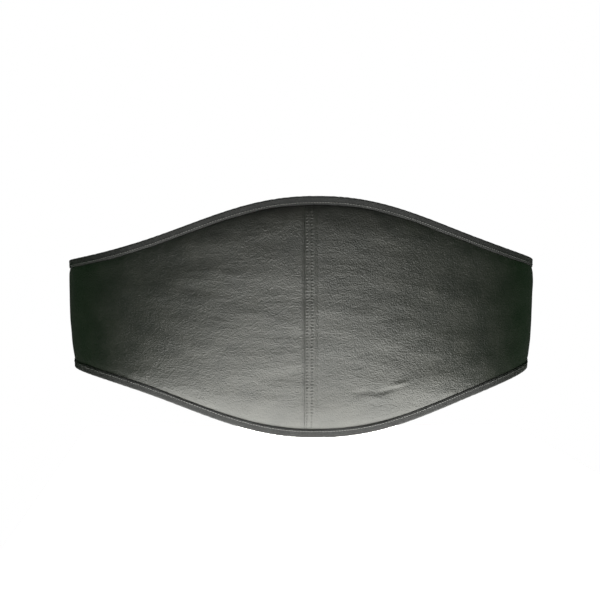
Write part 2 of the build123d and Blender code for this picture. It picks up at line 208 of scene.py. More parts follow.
def grid_faces(rows, columns, close_rows=False, close_columns=False, first=0):
    """Quads between neighbouring points of a grid, which may close on itself either way."""
    r = np.arange(rows if close_rows else rows - 1)
    c = np.arange(columns if close_columns else columns - 1)
    r, c = np.meshgrid(r, c, indexing="ij")
    r2, c2 = (r + 1) % rows, (c + 1) % columns
    quads = np.stack([r * columns + c, r2 * columns + c, r2 * columns + c2, r * columns + c2], -1)
    return quads.reshape(-1, 4) + first


def tube_object(name, rings, uvs):
    """A closed tube through rings of points, capped at both ends."""
    rows, columns = rings.shape[:2]
    faces = grid_faces(rows, columns, close_columns=True).tolist()
    faces.append(list(range(columns))[::-1])
    faces.append(list(range((rows - 1) * columns, rows * columns)))
    mesh = bpy.data.meshes.new(name)
    mesh.from_pydata(rings.reshape(-1, 3).tolist(), [], faces)
    mesh.polygons.foreach_set("use_smooth", np.ones(len(mesh.polygons), bool))
    corner = np.zeros(len(mesh.loops), np.int32)
    mesh.loops.foreach_get("vertex_index", corner)
    layer = mesh.uv_layers.new(name="flat")
    layer.data.foreach_set("uv", uvs.reshape(-1, 2).astype(np.float32)[corner].ravel())
    mesh.update()
    thing = bpy.data.objects.new(name, mesh)
    bpy.context.scene.collection.objects.link(thing)
    return thing


def outward_facing(thing):
    """Turns a closed mesh's faces to look out."""
    work = bmesh.new()
    work.from_mesh(thing.data)
    bmesh.ops.recalc_face_normals(work, faces=work.faces)
    work.to_mesh(thing.data)
    work.free()
    return thing


def finish_mesh(thing, *modifiers):
    """Adds modifiers, each (type, settings), and applies them."""
    for kind, settings in modifiers:
        modifier = thing.modifiers.new(kind.lower(), kind)
        for name, value in settings.items():
            setattr(modifier, name, value)
    graph = bpy.context.evaluated_depsgraph_get()
    made = bpy.data.meshes.new_from_object(thing.evaluated_get(graph))
    thing.modifiers.clear()
    thing.data = made
    return thing


def stitches_object(name, places, runs, outs, length, width, height):
    """Many short sunken threads as one mesh. Each lies at its place, along its run, facing out."""
    places, runs, outs = (np.asarray(v, float).reshape(-1, 3) for v in (places, runs, outs))
    runs = runs / np.linalg.norm(runs, axis=1, keepdims=True)
    outs = outs - (outs * runs).sum(1, keepdims=True) * runs
    outs = outs / np.linalg.norm(outs, axis=1, keepdims=True)
    sides = np.cross(runs, outs)
    rings, around = 7, 8
    lengthwise = np.linspace(0, math.pi, rings)
    turn = np.arange(around) * 2 * math.pi / around
    swell = np.sin(lengthwise) ** 0.55
    swell[[0, -1]] = 0.12
    a = -np.cos(lengthwise)[:, None] * length / 2 + 0 * turn
    b = swell[:, None] * np.cos(turn) * width / 2
    c = swell[:, None] * np.sin(turn) * height / 2
    shape = np.stack([a, b, c], -1).reshape(-1, 3) * MM
    axes = np.stack([runs, sides, outs], axis=1)
    points = places[:, None, :] + np.einsum("pk,nkj->npj", shape, axes)
    faces = grid_faces(rings, around, close_columns=True)
    total = rings * around
    every = (faces[None] + (np.arange(len(places)) * total)[:, None, None]).reshape(-1, 4)
    uvs = np.tile(np.stack([a, np.broadcast_to(turn, a.shape) * width / 6], -1).reshape(-1, 2) * MM,
                  (len(places), 1))
    return outward_facing(mesh_object(name, points, every, uvs))


def along_line(corners, pitch):
    """Evenly spaced points on a polyline, and its direction at each."""
    corners = np.asarray(corners, float)
    places, runs = [], []
    for start, end in zip(corners[:-1], corners[1:]):
        length = np.linalg.norm(end - start)
        count = max(1, round(length / pitch))
        shares = (np.arange(count) + 0.5) / count
        places.append(start + shares[:, None] * (end - start))
        runs.append(np.repeat((end - start)[None] / length, count, 0))
    return np.concatenate(places), np.concatenate(runs)


def plan_path(start, heading, moves, step=2.0):
    """Points and headings seen from above, along straight runs (length,) and bends (radius, degrees)."""
    x, y = start
    angle = math.radians(heading)
    points, headings = [(x, y)], [angle]
    for move in moves:
        radius, turn = (None, 0.0) if len(move) == 1 else (move[0], math.radians(move[1]))
        length = move[0] if radius is None else radius * abs(turn)
        count = max(2, math.ceil(length / (step if radius is None else step / 3)))
        for share in (np.arange(count) + 1) / count:
            if radius is None:
                point = (x + share * length * math.cos(angle), y + share * length * math.sin(angle))
            else:
                curve, now = math.copysign(radius, turn), angle + share * turn
                point = (
                    x + curve * (math.sin(now) - math.sin(angle)),
                    y + curve * (math.cos(angle) - math.cos(now)),
                )
            points.append(point)
            headings.append(angle + share * turn)
        (x, y), angle = points[-1], angle + turn
    return np.array(points), np.array(headings)


def strip_object(name, path, thickness, half_width, relief, end_taper=0.0):
    """A strap on edge with rounded edges, along a plan path. relief(u, v) lifts both faces, in mm."""
    points, headings = path
    gaps = np.linalg.norm(np.diff(points, axis=0), axis=1)
    u = np.concatenate([[0], np.cumsum(gaps)])
    half = thickness / 2
    across = np.linspace(-half_width + half, half_width - half, 40)
    turn = np.linspace(-math.pi / 2, math.pi / 2, 5)[1:-1]
    v = np.concatenate([across, half_width - half + half * np.cos(turn), across[::-1],
                        -half_width + half - half * np.cos(turn)])
    off = np.concatenate([np.full(40, -half), half * np.sin(turn), np.full(40, half),
                          -half * np.sin(turn)])
    uu, vv = np.meshgrid(u, v, indexing="ij")
    lift = relief(uu, vv)
    ends = np.minimum(np.minimum(u, u[-1] - u) / max(half, 0.1), 1.0)
    thin = np.sqrt(1 - (1 - ends) ** 2) * 0.75 + 0.25
    narrow = 1 - end_taper * np.clip(1 - (u[-1] - u) / 14.0, 0, 1)[:, None] ** 2
    away = off[None, :] * thin[:, None] + lift
    x = points[:, :1] - away * np.sin(headings)[:, None]
    y = points[:, 1:] + away * np.cos(headings)[:, None]
    rings = np.stack([x, y, vv * narrow], -1) * MM
    return outward_facing(tube_object(name, rings, np.stack([uu, vv], -1) * MM))


# ---- materials ----

class Nodes:
    """A material's node tree, with short ways to add and join nodes."""

    def __init__(self, name):
        self.material = bpy.data.materials.new(name)
        self.material.use_nodes = True
        self.tree = self.material.node_tree
        self.shader = self.tree.nodes["Principled BSDF"]

    def add(self, kind, **settings):
        node = self.tree.nodes.new(f"ShaderNode{kind}")
        for key, value in settings.items():
            setattr(node, key, value)
        return node

    def join(self, source, target):
        self.tree.links.new(source, target)
        return target

    def math(self, operation, first, second=0.0):
        node = self.add("Math", operation=operation)
        for socket, value in zip(node.inputs, (first, second)):
            if isinstance(value, (int, float)):
                socket.default_value = value
            else:
                self.join(value, socket)
        return node.outputs[0]

    def place(self, kind="Object"):
        return self.add("TexCoord").outputs[kind]

    def noise(self, where, scale, detail=2.0, roughness=0.5):
        node = self.add("TexNoise")
        node.inputs["Scale"].default_value = scale
        node.inputs["Detail"].default_value = detail
        node.inputs["Roughness"].default_value = roughness
        self.join(where, node.inputs["Vector"])
        return node.outputs["Fac"]

    def cells(self, where, scale, feature="F1", randomness=1.0):
        node = self.add("TexVoronoi", feature=feature)
        node.inputs["Scale"].default_value = scale
        node.inputs["Randomness"].default_value = randomness
        self.join(where, node.inputs["Vector"])
        return node.outputs["Distance"]

    def between(self, value, low, high, out_low=0.0, out_high=1.0):
        node = self.add("MapRange")
        for key, number in zip(("From Min", "From Max", "To Min", "To Max"),
                               (low, high, out_low, out_high)):
            node.inputs[key].default_value = number
        self.join(value, node.inputs["Value"])
        return node.outputs["Result"]

    def blend(self, share, first, second):
        """A colour between two, each a colour or a socket."""
        node = self.add("Mix", data_type="RGBA")
        self.join(share, node.inputs["Factor"])
        for key, colour in (("A", first), ("B", second)):
            socket = [s for s in node.inputs if s.name == key and s.type == "RGBA"][0]
            if isinstance(colour, tuple):
                socket.default_value = (*colour, 1)
            else:
                self.join(colour, socket)
        return [s for s in node.outputs if s.type == "RGBA"][0]

    def colour(self, socket):
        self.join(socket, self.shader.inputs["Base Color"])

    def set(self, **values):
        for key, value in values.items():
            self.shader.inputs[key.replace("_", " ")].default_value = value

    def roughness(self, socket):
        self.join(socket, self.shader.inputs["Roughness"])

    def bump(self, *layers):
        """Bumps, each (height socket, depth in mm, strength), laid on one another."""
        before = None
        for height, depth, strength in layers:
            node = self.add("Bump")
            node.inputs["Distance"].default_value = depth * MM
            node.inputs["Strength"].default_value = strength
            self.join(height, node.inputs["Height"])
            if before:
                self.join(before, node.inputs["Normal"])
            before = node.outputs["Normal"]
        self.join(before, self.shader.inputs["Normal"])


def leather_material(name, dark, light, gloss=(0.34, 0.50)):
    """Pebbled black leather: small cells, pores and shallow creases, shinier on the high spots."""
    n = Nodes(name)
    where = n.place()
    pebbles = n.cells(where, 780.0, feature="SMOOTH_F1")
    fine = n.cells(where, 1900.0)
    soft = n.noise(where, 34.0, 3.0)
    broad = n.noise(where, 9.0, 2.0)
    creases = n.noise(where, 150.0, 4.0, 0.65)
    stretch = n.add("Mapping")
    stretch.inputs["Scale"].default_value = (0.35, 0.35, 1.0)
    n.join(where, stretch.inputs["Vector"])
    wrinkles = n.noise(stretch.outputs["Vector"], 70.0, 3.0, 0.55)
    n.colour(n.blend(n.between(soft, 0.35, 0.7), dark, light))
    worn = n.math("ADD", n.between(broad, 0.3, 0.7, -0.04, 0.04), n.between(pebbles, 0.0, 0.6, *gloss))
    n.roughness(worn)
    n.bump((wrinkles, 1.6, 0.5), (creases, 0.9, 0.5), (pebbles, 0.42, 0.85), (fine, 0.14, 0.5))
    n.set(Specular_IOR_Level=0.75, Sheen_Weight=0.02, Sheen_Roughness=0.5)
    return n.material


def woven_material(name, dark, light, rib, yarn, roughness=0.8, sheen=0.12):
    """Woven tape or webbing: ribs across its length, crossed by finer yarns. rib and yarn in mm."""
    n = Nodes(name)
    split = n.add("SeparateXYZ")
    n.join(n.place("UV"), split.inputs[0])
    u, v = split.outputs["X"], split.outputs["Y"]
    ribs = n.math("SINE", n.math("MULTIPLY", u, 2 * math.pi / (rib * MM)))
    yarns = n.math("SINE", n.math("MULTIPLY", v, 2 * math.pi / (yarn * MM)))
    crossing = n.math("MULTIPLY", ribs, yarns)
    flecks = n.noise(n.place(), 1500.0, 2.0)
    patches = n.noise(n.place(), 60.0, 3.0)
    height = n.math("ADD", n.math("MULTIPLY", crossing, 0.5), n.math("MULTIPLY", yarns, 0.25))
    shade = n.math("ADD", n.between(height, -0.7, 0.7, 0.0, 0.75), n.between(flecks, 0.4, 0.75, -0.2, 0.45))
    faded = n.math("MULTIPLY", shade, n.between(patches, 0.3, 0.7, 0.75, 1.15))
    n.colour(n.blend(faded, dark, light))
    n.roughness(n.between(flecks, 0.3, 0.7, roughness - 0.08, roughness + 0.08))
    n.bump((height, 0.22, 0.8), (flecks, 0.12, 0.4))
    n.set(Specular_IOR_Level=0.35, Sheen_Weight=sheen, Sheen_Roughness=0.4)
    return n.material


def thread_material(name, dark, light):
    """Twisted polyester thread."""
    n = Nodes(name)
    split = n.add("SeparateXYZ")
    n.join(n.place("UV"), split.inputs[0])
    slant = n.math("ADD", split.outputs["X"], split.outputs["Y"])
    twist = n.math("SINE", n.math("MULTIPLY", slant, 2 * math.pi / (0.5 * MM)))
    n.colour(n.blend(n.between(twist, -1, 1), dark, light))
    n.bump((twist, 0.06, 0.6),)
    n.set(Roughness=0.5, Specular_IOR_Level=0.5, Sheen_Weight=0.15)
    return n.material


def pile_material(name, dark, light, scale, depth, hooks):
    """Hook or loop tape: rows of stiff hooks, or a tangled soft nap."""
    n = Nodes(name)
    where = n.place()
    nap = n.cells(where, scale, randomness=0.25 if hooks else 1.0)
    tangle = n.noise(where, scale * 1.6, 4.0, 0.7)
    n.colour(n.blend(n.between(nap, 0.0, 0.6), light, dark))
    n.roughness(n.between(tangle, 0.3, 0.7, 0.55 if hooks else 0.85, 0.98))
    n.bump((nap, depth, 0.9), (tangle, depth / 2, 0.7))
    n.set(Specular_IOR_Level=0.3, Sheen_Weight=0.05 if hooks else 0.35, Sheen_Roughness=0.6)
    return n.material


def foam_material(name, dark, light, cell):
    """Closed-cell foam: fine cells, a little mottled."""
    n = Nodes(name)
    where = n.place()
    cells = n.cells(where, 1000.0 / cell)
    mottle = n.noise(where, 40.0, 3.0)
    n.colour(n.blend(mottle, dark, light))
    n.bump((cells, 0.15, 0.5),)
    n.set(Roughness=0.9, Specular_IOR_Level=0.3)
    return n.material


def steel_material(name):
    """Polished wire with fine wear marks and a dull bloom."""
    n = Nodes(name)
    where = n.place()
    marks = n.noise(where, 900.0, 5.0, 0.7)
    bloom = n.noise(where, 60.0, 2.0)
    n.colour(n.blend(bloom, (0.62, 0.62, 0.64), (0.78, 0.78, 0.79)))
    n.roughness(n.math("ADD", n.between(marks, 0.35, 0.7, 0.08, 0.24), n.between(bloom, 0.3, 0.7, 0, 0.1)))
    n.bump((marks, 0.02, 0.4),)
    n.set(Metallic=1.0)
    return n.material


def plain_material(name, colour, roughness=0.6, glow=0.0):
    n = Nodes(name)
    n.set(Base_Color=(*colour, 1), Roughness=roughness)
    if glow:
        n.set(Emission_Color=(1.0, 1.0, 0.94, 1), Emission_Strength=glow)
    return n.material


LEATHER_LOOK = leather_material("black_leather", (0.009, 0.0095, 0.0085), (0.019, 0.019, 0.017))
TRIM_LEATHER = leather_material("trim_leather", (0.010, 0.010, 0.010), (0.022, 0.021, 0.020), (0.44, 0.6))
TAPE_LOOK = woven_material("binding_weave", (0.005, 0.005, 0.0055), (0.055, 0.056, 0.058), 1.5, 1.1)
WEB_LOOK = woven_material("webbing_weave", (0.006, 0.006, 0.007), (0.05, 0.05, 0.053), 2.6, 1.8)
LINING_LOOK = woven_material("lining_weave", (0.010, 0.010, 0.011), (0.035, 0.035, 0.037),
                             0.9, 0.7, 0.7, 0.2)
THREAD_LOOK = thread_material("black_thread", (0.003, 0.003, 0.003), (0.012, 0.012, 0.012))
TAPE_THREAD = thread_material("grey_thread", (0.05, 0.05, 0.05), (0.2, 0.2, 0.2))
LOOP_LOOK = pile_material("loop_nap", (0.008, 0.008, 0.009), (0.045, 0.045, 0.047), 1400.0, 0.5, False)
HOOK_LOOK = pile_material("hook_rows", (0.008, 0.008, 0.009), (0.06, 0.06, 0.062), 800.0, 0.6, True)
STRIKE_LOOK = foam_material("strike_foam_cells", (0.05, 0.05, 0.055), (0.09, 0.09, 0.095), 0.5)
CORE_LOOK = foam_material("core_foam_cells", (0.12, 0.12, 0.13), (0.2, 0.2, 0.21), 0.7)
COMFORT_LOOK = foam_material("comfort_foam_cells", (0.45, 0.43, 0.38), (0.55, 0.53, 0.47), 0.9)


def dress(thing, material, body, slot, *nodes):
    """Gives a piece its material and body, and hides the CAD nodes that it stands for. slot is not used."""
    thing.data.materials.clear()
    thing.data.materials.append(material)
    if body:
        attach(thing, body)
    if nodes:
        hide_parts(*nodes)
    return thing


# ---- the padded body ----

def rim_mask(along, z, reach=7.0):
    """0 under the binding, 1 on the open leather."""
    share = np.clip((half_height(along) - np.abs(z) - RIM_WIDTH) / reach, 0, 1)
    return share * share * (3 - 2 * share)


SLACK_COLUMNS, SLACK_ROWS = 221, 49
SLACK_SMOOTHING = 8  # passes that take out wrinkles as small as the grid
SLACK_CAP = 4.0  # the furthest that the simulation may move the leather, in millimetres


def simulated_slack(name, depth_of, outward, seamed):
    """Swells a face, held at its rim, ends and seam, as cloth under light pressure. Returns how
    far each point of a coarse grid moved outward, in millimetres."""
    marks = np.linspace(-HALF_LENGTH, HALF_LENGTH, SLACK_COLUMNS)
    along, share = np.meshgrid(marks, np.linspace(-1, 1, SLACK_ROWS), indexing="ij")
    z = share * half_height(along)
    rest = place(along, depth_of(along, z), z)
    sheet = mesh_object(name, rest, grid_faces(*along.shape))
    held = (np.abs(z) > half_height(along) - RIM_WIDTH) | (HALF_LENGTH - np.abs(along) < END_LENGTH)
    if seamed:
        held |= np.abs(along) < 4.0
    sheet.vertex_groups.new(name="held").add(np.flatnonzero(held.ravel()).tolist(), 1.0, "REPLACE")
    cloth = sheet.modifiers.new("cloth", "CLOTH")
    cloth.settings.quality = 5
    cloth.settings.mass = 0.4
    cloth.settings.tension_stiffness = cloth.settings.compression_stiffness = 18.0
    cloth.settings.bending_stiffness = 9.0
    cloth.settings.shrink_min = -0.001
    cloth.settings.vertex_group_mass = "held"
    cloth.settings.use_pressure = True
    cloth.settings.uniform_pressure_force = 1.6 * outward
    cloth.settings.effector_weights.gravity = 0.0
    cloth.point_cache.frame_start, cloth.point_cache.frame_end = 1, 20
    for step in range(1, 21):
        bpy.context.scene.frame_set(step)
    solved = sheet.evaluated_get(bpy.context.evaluated_depsgraph_get())
    moved = np.zeros(rest.size)
    solved.data.vertices.foreach_get("co", moved)
    normal = np.cross(np.gradient(rest, axis=0), np.gradient(rest, axis=1))
    normal /= np.linalg.norm(normal, axis=-1, keepdims=True)
    offset = ((moved.reshape(rest.shape) - rest) * normal).sum(-1) * outward / MM
    bpy.data.objects.remove(sheet)
    bpy.context.scene.frame_set(1)
    print(name, "simulated, moved", round(float(offset.min()), 2), "to", round(float(offset.max()), 2))
    for _ in range(SLACK_SMOOTHING):
        wider = np.pad(offset, 1, mode="edge")
        around = wider[:-2, 1:-1] + wider[2:, 1:-1] + wider[1:-1, :-2] + wider[1:-1, 2:]
        offset = 0.5 * offset + 0.125 * around
    return np.clip(offset, -SLACK_CAP, SLACK_CAP)


def at_grid(grid, along, z):
    """A coarse grid's value at pad coordinates, smoothly between its points."""
    u = (along + HALF_LENGTH) / (2 * HALF_LENGTH) * (SLACK_COLUMNS - 1)
    v = (np.clip(z / half_height(along), -1, 1) + 1) / 2 * (SLACK_ROWS - 1)
    i = np.clip(np.floor(u).astype(int), 0, SLACK_COLUMNS - 2)
    j = np.clip(np.floor(v).astype(int), 0, SLACK_ROWS - 2)
    a, b = np.clip(u - i, 0, 1), np.clip(v - j, 0, 1)
    a, b = a * a * (3 - 2 * a), b * b * (3 - 2 * b)
    low = grid[i, j] * (1 - b) + grid[i, j + 1] * b
    high = grid[i + 1, j] * (1 - b) + grid[i + 1, j + 1] * b
    return low * (1 - a) + high * a


FRONT_SLACK = simulated_slack("front_slack", front_depth, 1, True)
BACK_SLACK = simulated_slack("back_slack", back_depth, -1, False)


def seam_relief(along, z):
    """The turned edge stands over the left panel, and is drawn down along its two rows."""
    ply = 0.95 * np.clip((along - SEAM_LINE) / 0.9, 0, 1) * (1 - np.clip((along - 5.5) / 4.0, 0, 1))
    rows = sum(np.exp(-(((along - row) / 1.0) ** 2)) for row in SEAM_ROWS)
    beat = 0.55 + 0.45 * np.cos(2 * math.pi * z / STITCH_PITCH)
    tuck = np.exp(-(((along - SEAM_LINE) / 2.2) ** 2)) * (along < SEAM_LINE)
    swell = np.exp(-(((along - 13.0) / 7.0) ** 2)) + np.exp(-(((along + 13.0) / 7.0) ** 2))
    return ply - 0.8 * rows * beat - 0.6 * tuck + 0.35 * swell


# Single creases and dents: (height, centre, size along and across, angle), ridges positive
CREASES = (
    (0.75, (99.0, -72.5), (10.0, 2.4), 16.0),
    (-0.9, (86.0, -79.0), (13.0, 3.6), 14.0),
    (0.5, (67.0, -86.0), (12.0, 4.0), -6.0),
    (-0.5, (56.0, -81.5), (9.0, 3.6), 10.0),
    (0.6, (-96.0, 48.0), (30.0, 9.0), -12.0),
    (-0.5, (-120.0, 30.0), (34.0, 8.0), -8.0),
)
# Where the flanks pucker upright: (centre, size)
END_CREASES = (((-248.0, -30.0), (22.0, 30.0)), ((236.0, -28.0), (30.0, 26.0)))
END_CREASE_DEPTH = 0.17


def leather_relief(along, z):
    """How far the leather stands off its plain crowned shape, in millimetres."""
    open_leather = rim_mask(along, z)
    below_edge = half_height(along) - np.abs(z)
    slack = 0.55 * waves(3, along, z, 210.0, 62.0) + 0.28 * waves(8, along, z, 90.0, 34.0)
    pucker = waves(5, along, z, 17.0, 400.0) * np.exp(-(((below_edge - 13.0) / 8.0) ** 2))
    creases = sum(
        height * bump_at(along, z, centre, size, angle) for height, centre, size, angle in CREASES
    )
    end_share = sum(bump_at(along, z, centre, size) for centre, size in END_CREASES)
    end_creases = END_CREASE_DEPTH * waves(11, along, z, 10.0, 70.0) * end_share
    soft = at_grid(FRONT_SLACK, along, z) + slack * 0.45 + 0.2 * pucker + creases + end_creases
    return (soft + seam_relief(along, z)) * open_leather


COVER_ROWS = 341  # fine enough to show each stitch's dip


def cover_grid(marks):
    """Pad coordinates of a cover panel's points."""
    along, share = np.meshgrid(marks, np.linspace(-1, 1, COVER_ROWS), indexing="ij")
    return along, share * half_height(along)


def make_cover(name, marks, node):
    along, z = cover_grid(marks)
    depth = front_depth(along, z) - leather_relief(along, z)
    panel = mesh_object(name, place(along, depth, z), grid_faces(*along.shape),
                        np.stack([along, z], -1) * MM)
    finish_mesh(panel, ("SOLIDIFY", {"thickness": 1.3 * MM, "offset": -1.0}))
    dress(panel, LEATHER_LOOK, "root", "cover_leather", node)
    return panel


FINE_REACH = 24.0  # the stretch beside the seam that is meshed finely
FINE_STEP = 0.6


def make_covers():
    fine = np.arange(0.0, FINE_REACH, FINE_STEP)
    beyond_left = np.linspace(FINE_REACH, HALF_LENGTH + SEAM_LINE, 220)[1:] + SEAM_TUCK
    beyond_right = np.linspace(FINE_REACH, HALF_LENGTH - SEAM_LINE, 225)
    left = SEAM_LINE + SEAM_TUCK - np.concatenate([fine, beyond_left])[::-1]
    make_cover("cover_left", left, "outer_cover_left")
    make_cover("cover_right", SEAM_LINE + np.concatenate([fine, beyond_right]), "outer_cover_right")


def make_lining():
    marks = np.linspace(-HALF_LENGTH, HALF_LENGTH, 360)
    along, z = cover_grid(marks)
    ripple = 0.4 * waves(21, along, z, 120.0, 50.0) + 0.2 * waves(22, along, z, 26.0, 90.0)
    depth = back_depth(along, z) + (ripple + at_grid(BACK_SLACK, along, z)) * rim_mask(along, z)
    sheet = mesh_object("lining", place(along, depth, z), grid_faces(*along.shape),
                        np.stack([along, z], -1) * MM)
    finish_mesh(sheet, ("SOLIDIFY", {"thickness": 0.8 * MM, "offset": 1.0}))
    dress(sheet, LINING_LOOK, "root", "lining_cloth", "inner_lining")


def make_foam(name, end, front_share, back_share, material, slot):
    """A foam sheet between two shares of the space between the skins."""
    marks = np.linspace(-end, end, 120)
    rows = np.linspace(-1, 1, 31)
    along, share = np.meshgrid(marks, rows, indexing="ij")
    z = share * (half_height(along) - RIM_WIDTH - 4.5)
    front = front_depth(along, z, LEATHER + 1.4)
    back = back_depth(along, z, LINING + 1.2)
    outer = place(along, front + front_share(along) * (back - front) + 0.2, z)
    inner = place(along, front + back_share(along) * (back - front) - 0.2, z)
    rings = np.concatenate([outer, inner[:, ::-1]], axis=1)
    uvs = np.concatenate([np.stack([along, z], -1), np.stack([along, z], -1)[:, ::-1]], axis=1) * MM
    foam = outward_facing(tube_object(name + "_sheet", rings, uvs))
    dress(foam, material, "root", slot, name)


def make_foams():
    def strike_back(along):
        return STRIKE_FOAM / (STRIKE_FOAM + COMFORT_FOAM + core_thickness(along))

    def core_back(along):
        return 1.0 - COMFORT_FOAM / (STRIKE_FOAM + COMFORT_FOAM + core_thickness(along))

    make_foam("strike_foam", FOAM_END, np.zeros_like, strike_back, STRIKE_LOOK, "strike_foam")
    make_foam("core_foam", CORE_END, strike_back, core_back, CORE_LOOK, "core_foam")
    make_foam("comfort_foam", FOAM_END, core_back, np.ones_like, COMFORT_LOOK, "comfort_foam")


# ---- binding ----

def binding_profile(along, shift):
    """The U of the tape at each station: depth and height-from-edge of its middle line."""
    front = rim_depth(along) - BINDING_GAP - BINDING / 2
    back = rim_depth(along) + EDGE_THICKNESS + BINDING_GAP + BINDING / 2
    radius = (back - front) / 2
    middle = (back + front) / 2
    legs = np.array([BINDING_LEG, 6.4, 4.0, 1.8])
    turn = np.linspace(0, math.pi, 9)
    depth = np.concatenate([
        np.repeat(front[:, None], 4, 1),
        middle[:, None] - radius[:, None] * np.cos(turn),
        np.repeat(back[:, None], 4, 1),
    ], axis=1)
    below = np.concatenate([
        np.repeat(legs[None], len(along), 0) + shift[:, None] * (legs > 6)[None],
        radius[:, None] * (0.45 - 0.55 * np.sin(turn)),
        np.repeat(legs[::-1][None], len(along), 0) - shift[:, None] * (legs[::-1] > 6)[None],
    ], axis=1)
    return depth, below


def make_binding(name, side):
    marks = np.linspace(-HALF_LENGTH, HALF_LENGTH, 760)
    wobble = 0.35 * waves(31 + side, marks, 0 * marks, 70.0, 1.0)
    depth, below = binding_profile(marks, wobble)
    lift = 0.10 * waves(41 + side, marks, 0 * marks, 9.0, 1.0)[:, None]
    step_depth = np.gradient(depth, axis=1)
    step_below = np.gradient(below, axis=1)
    size = np.hypot(step_depth, step_below)
    out_depth, out_below = step_below / size, -step_depth / size
    half = BINDING / 2
    turned = np.sign(out_depth[:, :1])
    faces = []
    for away in (half, -half):
        moved = turned * (away + lift)
        faces.append((depth + moved * out_depth, below + moved * out_below))
    ring_depth = np.concatenate([faces[0][0], faces[1][0][:, ::-1]], axis=1)
    ring_below = np.concatenate([faces[0][1], faces[1][1][:, ::-1]], axis=1)
    along = np.repeat(marks[:, None], ring_depth.shape[1], 1)
    z = side * (half_height(along) - ring_below)
    rings = place(along, ring_depth, z)
    length = np.concatenate([[0], np.cumsum(np.hypot(np.diff(marks), np.diff(half_height(marks))))])
    width = np.cumsum(size[0])
    across = np.concatenate([width, width[::-1]])
    uvs = np.stack(np.meshgrid(length, across, indexing="ij"), -1) * MM
    tape = outward_facing(tube_object(name + "_tape", rings, uvs))
    dress(tape, TAPE_LOOK, "root", "binding_tape", name)


def make_binding_stitches(name, side):
    fine = np.linspace(-HALF_LENGTH + 2, HALF_LENGTH - 2, 4000)
    length = np.concatenate([[0], np.cumsum(np.hypot(np.diff(fine), np.diff(half_height(fine))))])
    marks = np.interp(np.arange(BINDING_FIRST, length[-1], BINDING_PITCH), length, fine)
    places, runs, outs = [], [], []
    for depth_of, outward in (
        (lambda s: rim_depth(s) - BINDING_GAP - BINDING, -1),
        (lambda s: rim_depth(s) + EDGE_THICKNESS + BINDING_GAP + BINDING, 1),
    ):
        def point(s, lift):
            return place(s, depth_of(s) + outward * lift, side * (half_height(s) - BINDING_ROW))

        places.append(point(marks, STITCH_LIFT))
        runs.append(point(marks + 0.2, STITCH_LIFT) - point(marks - 0.2, STITCH_LIFT))
        outs.append(point(marks, 1.0) - point(marks, 0.0))
    row = stitches_object(name + "_stitches", np.concatenate(places), np.concatenate(runs),
                          np.concatenate(outs), 2.3, 0.75, 0.6)
    dress(row, TAPE_THREAD, "root", "thread", name + "_threads")


def make_seam_stitches():
    half = half_height(0.0) - RIM_WIDTH - 1.5
    z = np.arange(-math.floor(half / STITCH_PITCH), half / STITCH_PITCH) * STITCH_PITCH
    places, runs, outs = [], [], []
    for row in SEAM_ROWS:
        along = np.full_like(z, row)
        depth = front_depth(along, z) - leather_relief(along, z)
        base = place(along, depth - STITCH_LIFT, z)
        places.append(base)
        runs.append(np.gradient(base, axis=0))
        outs.append(place(along, depth - 1.0, z) - place(along, depth, z))
    seam = stitches_object("centre_seam_stitches", np.concatenate(places), np.concatenate(runs),
                           np.concatenate(outs), 2.5, 0.85, 0.7)
    dress(seam, THREAD_LOOK, "root", "thread", "centre_seam_threads")


# ---- the ends and the closure ----

END_X, END_Y = (float(v[0]) for v in outer_line(np.array([HALF_LENGTH]))[:2])
CLOSURE_Y = END_Y - EDGE_THICKNESS / 2
SEWN_GAP = 0.15
SEWN_LIFT = 0.1  # how far box stitching stands off its face
CAP = 1.2
CAP_LENGTH = 36.0
CAP_HALF = 50.0
CAP_OFFSET = EDGE_THICKNESS / 2 + SEWN_GAP + CAP / 2
CHAPE = 1.6
CHAPE_LEAF = 30.0
CHAPE_OFFSET = CAP_OFFSET + CAP / 2 + SEWN_GAP + CHAPE / 2
WIRE = 6.0
RING_REACH = 20.0  # from the pad's end to the ring's fixed bar
FREE_BAR = 75.5  # x of the ring's free bar, which the strap folds round
STRAP = 2.0
STRAP_OFFSET = WIRE / 2 + GAP + STRAP / 2
WEBBING_HALF = 37.5
ANCHOR_LENGTH = 34.0
PATCH = 1.3
PATCH_OVERLAP = 2.0
RUN_Y = CLOSURE_Y - STRAP_OFFSET
PILE_LIFT = 0.08
LOOP_PILE = 2.1
LOOP_LENGTH = 130.0
HOOK_PILE = 1.9
HOOK_LENGTH = 66.0
HOOK_INSET = 2.0
PILE_HALF = 35.0
PILE_TRIM = 0.1  # the visible piles are this much thinner than the part's
TAIL_Y = RUN_Y + STRAP + LOOP_PILE + HOOK_PILE + GAP + 2 * PILE_LIFT
TAIL_RUN = 72.0
TAIL_BEND, TAIL_ANGLE = 12.0, 8.0  # the ease that brings the tail down onto the run
TAIL_END = -13.7  # x of the tail's free end
TAB = 1.4
TAB_HALF = 24.0
TAB_LENGTH = 34.0
TAB_OVERHANG = 0.55  # the share of the tab beyond the tail's end
TAB_TAPER = 0.28
TAB_STITCH_INSET = 2.0
TAB_STITCH_SIDE = 3.0
BOX_PITCH = 3.2
BOX_INSET = 4.0
BOX_TIP = 3.0


def weave_relief(depth, rib):
    def relief(u, v):
        edge = np.clip((WEBBING_HALF - np.abs(v)) / 2.5, 0, 1)
        return depth * np.sin(2 * math.pi * u / rib) * edge + 0.12 * waves(51, u, v, 60.0, 30.0)

    return relief


